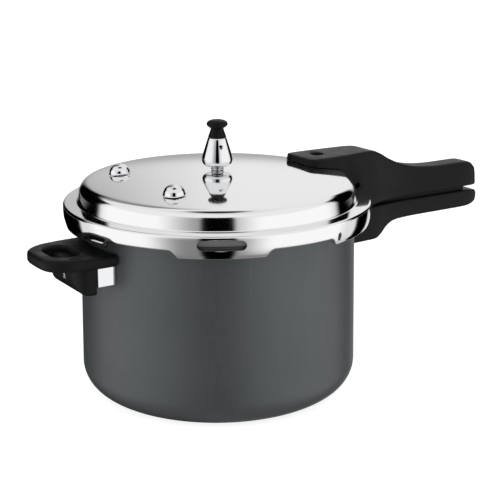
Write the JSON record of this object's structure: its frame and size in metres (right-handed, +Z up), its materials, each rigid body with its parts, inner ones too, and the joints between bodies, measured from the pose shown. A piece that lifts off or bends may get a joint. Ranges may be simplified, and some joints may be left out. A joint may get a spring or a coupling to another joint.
{
  "type": "stovetop pressure cooker",
  "caption": "Stovetop pressure cooker: dark pot, polished bayonet lid that turns and lifts off, regulator weight on a vent pipe, domed safety valves, long handles and a side loop.",
  "frame": {"origin": "centre of the pot's flat underside, which rests on the stove", "axes": "+Z up along the pot's axis; +X along the long handles, away from the pot; the side loop is on -X"},
  "size_m": [0.444, 0.2534, 0.224],
  "materials": {
    "hard_anodised": "matte dark grey anodised",
    "polished_aluminium": "mirror polished",
    "chrome_plate": "polished",
    "bright_steel": "bright",
    "black_bakelite": "satin moulded",
    "grey_silicone": "matte"
  },
  "bodies": {
    "pot": {"pot_body": "hard_anodised", "pot_handle_bracket": "bright_steel", "pot_handle_grip": "black_bakelite", "pot_handle_rivet_1": "bright_steel", "pot_handle_rivet_2": "bright_steel", "pot_handle_screw": "bright_steel", "side_handle_bracket": "chrome_plate", "side_handle_grip": "black_bakelite", "side_handle_rivet_1": "bright_steel", "side_handle_rivet_2": "bright_steel", "side_handle_screw": "bright_steel"},
    "gasket": {"lid_gasket": "grey_silicone"},
    "lid": {"float_nut": "bright_steel", "float_sleeve": "bright_steel", "lid_handle_bracket": "bright_steel", "lid_handle_grip": "black_bakelite", "lid_handle_rivet_1": "bright_steel", "lid_handle_rivet_2": "bright_steel", "lid_handle_screw_1": "bright_steel", "lid_handle_screw_2": "bright_steel", "lid_shell": "polished_aluminium", "safety_a_cap": "chrome_plate", "safety_a_nut": "bright_steel", "safety_a_plug": "grey_silicone", "safety_a_seal": "grey_silicone", "safety_a_stem": "bright_steel", "safety_b_cap": "chrome_plate", "safety_b_nut": "bright_steel", "safety_b_plug": "grey_silicone", "safety_b_seal": "grey_silicone", "safety_b_stem": "bright_steel", "vent_clog_guard": "bright_steel", "vent_nut": "bright_steel", "vent_pipe": "bright_steel", "vent_washer": "grey_silicone"},
    "weight": {"regulator_cap": "black_bakelite", "regulator_needle": "bright_steel", "regulator_weight": "chrome_plate"},
    "float": {"float_pin": "bright_steel", "float_seal": "grey_silicone"}
  },
  "joints": [
    {"name": "lid_lift", "type": "slide", "parent": "pot", "child": "gasket", "axis": [0, 0, 1], "range_m": [0, 0.12]},
    {"name": "lid_turn", "type": "hinge", "parent": "gasket", "child": "lid", "pos_m": [0, 0, 0.155], "axis": [0, 0, 1], "range_deg": [-30, 0]},
    {"name": "weight_lift", "type": "slide", "parent": "lid", "child": "weight", "axis": [0, 0, 1], "range_m": [0, 0.03]},
    {"name": "float_rise", "type": "slide", "parent": "lid", "child": "float", "axis": [0, 0, 1], "range_m": [0, 0.004]}
  ]
}
